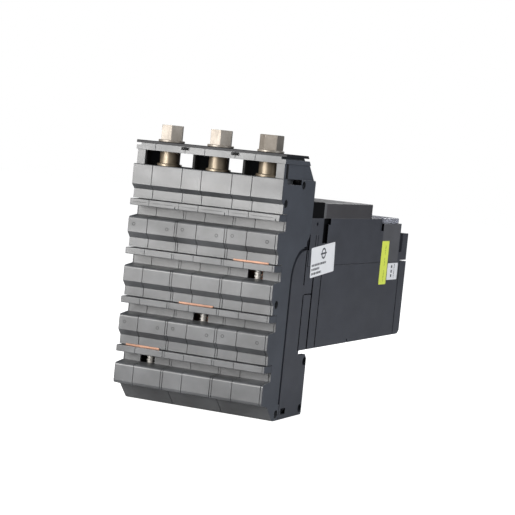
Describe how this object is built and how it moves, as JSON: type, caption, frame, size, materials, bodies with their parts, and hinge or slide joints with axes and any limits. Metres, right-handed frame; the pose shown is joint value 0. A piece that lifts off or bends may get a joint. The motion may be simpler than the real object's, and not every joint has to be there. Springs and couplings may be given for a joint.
{
  "type": "power circuit breaker",
  "caption": "Large plug-on power circuit breaker with an insulated connector block, clamp bolts and copper jaws",
  "frame": {"origin": "Centre of the four mounting holes, on the back face of the case.", "axes": "+X runs across the poles towards the side with the labels, +Y from the line-end block towards the load end, +Z from the case back towards the handle."},
  "size_m": [0.2103, 0.4898, 0.359],
  "materials": {
    "moulding_grey": "satin moulded thermoset, dark grey with a sheen",
    "moulding_black": "fine-grained matt black moulding",
    "panel_grey": "plain moulded panel",
    "zinc_steel": "zinc-plated steel",
    "passivated_steel": "yellow-passivated steel",
    "dark_steel": "blackened steel",
    "copper": "plain copper bar, lightly tarnished",
    "label_white": "printed label",
    "clear_lid": "smoked clear moulding",
    "fibre": "pressed fibre board",
    "resin_grey": "potting resin",
    "button_red": "red moulded button",
    "dial_white": "off-white moulded dial"
  },
  "bodies": {
    "breaker": {"left_pole_shell_left": "moulding_grey", "left_pole_shell_right": "moulding_grey", "left_line_conductor": "copper", "centre_pole_shell_left": "moulding_grey", "centre_pole_shell_right": "moulding_grey", "centre_line_conductor": "copper", "right_pole_shell_left": "moulding_grey", "right_pole_shell_right": "moulding_grey", "right_line_conductor": "copper", "left_pole_barrier": "moulding_grey", "centre_pole_barrier": "moulding_grey", "block_side_cover": "moulding_grey", "block_feet": "moulding_grey", "top_frame": "moulding_grey", "top_cover": "moulding_black", "frame_clips": "moulding_black", "tie_rods": "dark_steel", "bolt_washers": "zinc_steel", "bolt_collars": "passivated_steel", "line_adapter": "moulding_black", "mounting_ears": "moulding_black", "case_base": "moulding_black", "case_cover": "moulding_black", "front_cap": "panel_grey", "cap_end_shield": "moulding_black", "cover_screws": "dark_steel", "trip_unit": "panel_grey", "side_panels": "panel_grey", "load_cover_upper": "moulding_black", "load_cover_lower": "moulding_black", "side_labels": "label_white", "arc_plates": "dark_steel", "arc_frames": "fibre", "load_conductors": "copper", "current_transformers": "resin_grey", "mechanism_frame": "zinc_steel", "handle_pin": "dark_steel", "load_lugs": "zinc_steel", "lug_screws": "dark_steel", "lid_hinge_pin": "dark_steel"},
    "handle": {"toggle_handle": "moulding_black", "handle_yoke": "zinc_steel"},
    "contacts": {"crossbar": "resin_grey", "contact_arms": "copper"},
    "trip_button": {"trip_button": "button_red"},
    "clear_cover": {"clear_cover": "clear_lid"},
    "trip_dial_left": {"trip_dial_left": "dial_white"},
    "trip_dial_right": {"trip_dial_right": "dial_white"},
    "left_bolt": {"left_clamp_bolt": "zinc_steel"},
    "left_jaw": {"left_jaw_comb": "moulding_grey", "left_jaw_nut": "zinc_steel", "left_jaw_pad": "copper"},
    "centre_bolt": {"centre_clamp_bolt": "zinc_steel"},
    "centre_jaw": {"centre_jaw_comb": "moulding_grey", "centre_jaw_nut": "zinc_steel", "centre_jaw_pad": "copper"},
    "right_bolt": {"right_clamp_bolt": "zinc_steel"},
    "right_jaw": {"right_jaw_comb": "moulding_grey", "right_jaw_nut": "zinc_steel", "right_jaw_pad": "copper"}
  },
  "joints": [
    {"name": "left_bolt_turn", "type": "hinge", "parent": "breaker", "child": "left_bolt", "pos_m": [-0.07, -0.2655, 0.254], "axis": [0, 0, 1], "range_deg": [0, 810]},
    {"name": "left_jaw_slide", "type": "slide", "parent": "breaker", "child": "left_jaw", "axis": [0, 0, -1], "range_m": [0, 0.009]},
    {"name": "centre_bolt_turn", "type": "hinge", "parent": "breaker", "child": "centre_bolt", "pos_m": [0, -0.2655, 0.254], "axis": [0, 0, 1], "range_deg": [0, 810]},
    {"name": "centre_jaw_slide", "type": "slide", "parent": "breaker", "child": "centre_jaw", "axis": [0, 0, -1], "range_m": [0, 0.009]},
    {"name": "right_bolt_turn", "type": "hinge", "parent": "breaker", "child": "right_bolt", "pos_m": [0.07, -0.2655, 0.254], "axis": [0, 0, 1], "range_deg": [0, 810]},
    {"name": "right_jaw_slide", "type": "slide", "parent": "breaker", "child": "right_jaw", "axis": [0, 0, -1], "range_m": [0, 0.009]},
    {"name": "handle_turn", "type": "hinge", "parent": "breaker", "child": "handle", "pos_m": [0, -0.057, 0.128], "axis": [1, 0, 0], "range_deg": [0, 34]},
    {"name": "contacts_turn", "type": "hinge", "parent": "breaker", "child": "contacts", "pos_m": [0, -0.027, 0.064], "axis": [1, 0, 0], "range_deg": [0, 26]},
    {"name": "trip_button_press", "type": "slide", "parent": "breaker", "child": "trip_button", "axis": [0, 0, -1], "range_m": [0, 0.0025], "stiffness_N_per_m": 450},
    {"name": "clear_cover_turn", "type": "hinge", "parent": "breaker", "child": "clear_cover", "pos_m": [0.018, 0.147, 0.1682], "axis": [-1, 0, 0], "range_deg": [0, 95]},
    {"name": "trip_dial_left_turn", "type": "hinge", "parent": "breaker", "child": "trip_dial_left", "pos_m": [0.012, 0.115, 0.166], "axis": [0, 0, 1], "range_deg": [-135, 135]},
    {"name": "trip_dial_right_turn", "type": "hinge", "parent": "breaker", "child": "trip_dial_right", "pos_m": [0.044, 0.115, 0.166], "axis": [0, 0, 1], "range_deg": [-135, 135]}
  ],
  "couplings": [
    {"joint": "left_bolt_turn", "follows": "left_jaw_slide", "rad_per_m": 1570.8},
    {"joint": "centre_bolt_turn", "follows": "centre_jaw_slide", "rad_per_m": 1570.8},
    {"joint": "right_bolt_turn", "follows": "right_jaw_slide", "rad_per_m": 1570.8},
    {"joint": "contacts_turn", "follows": "handle_turn", "ratio": 0.76471}
  ]
}
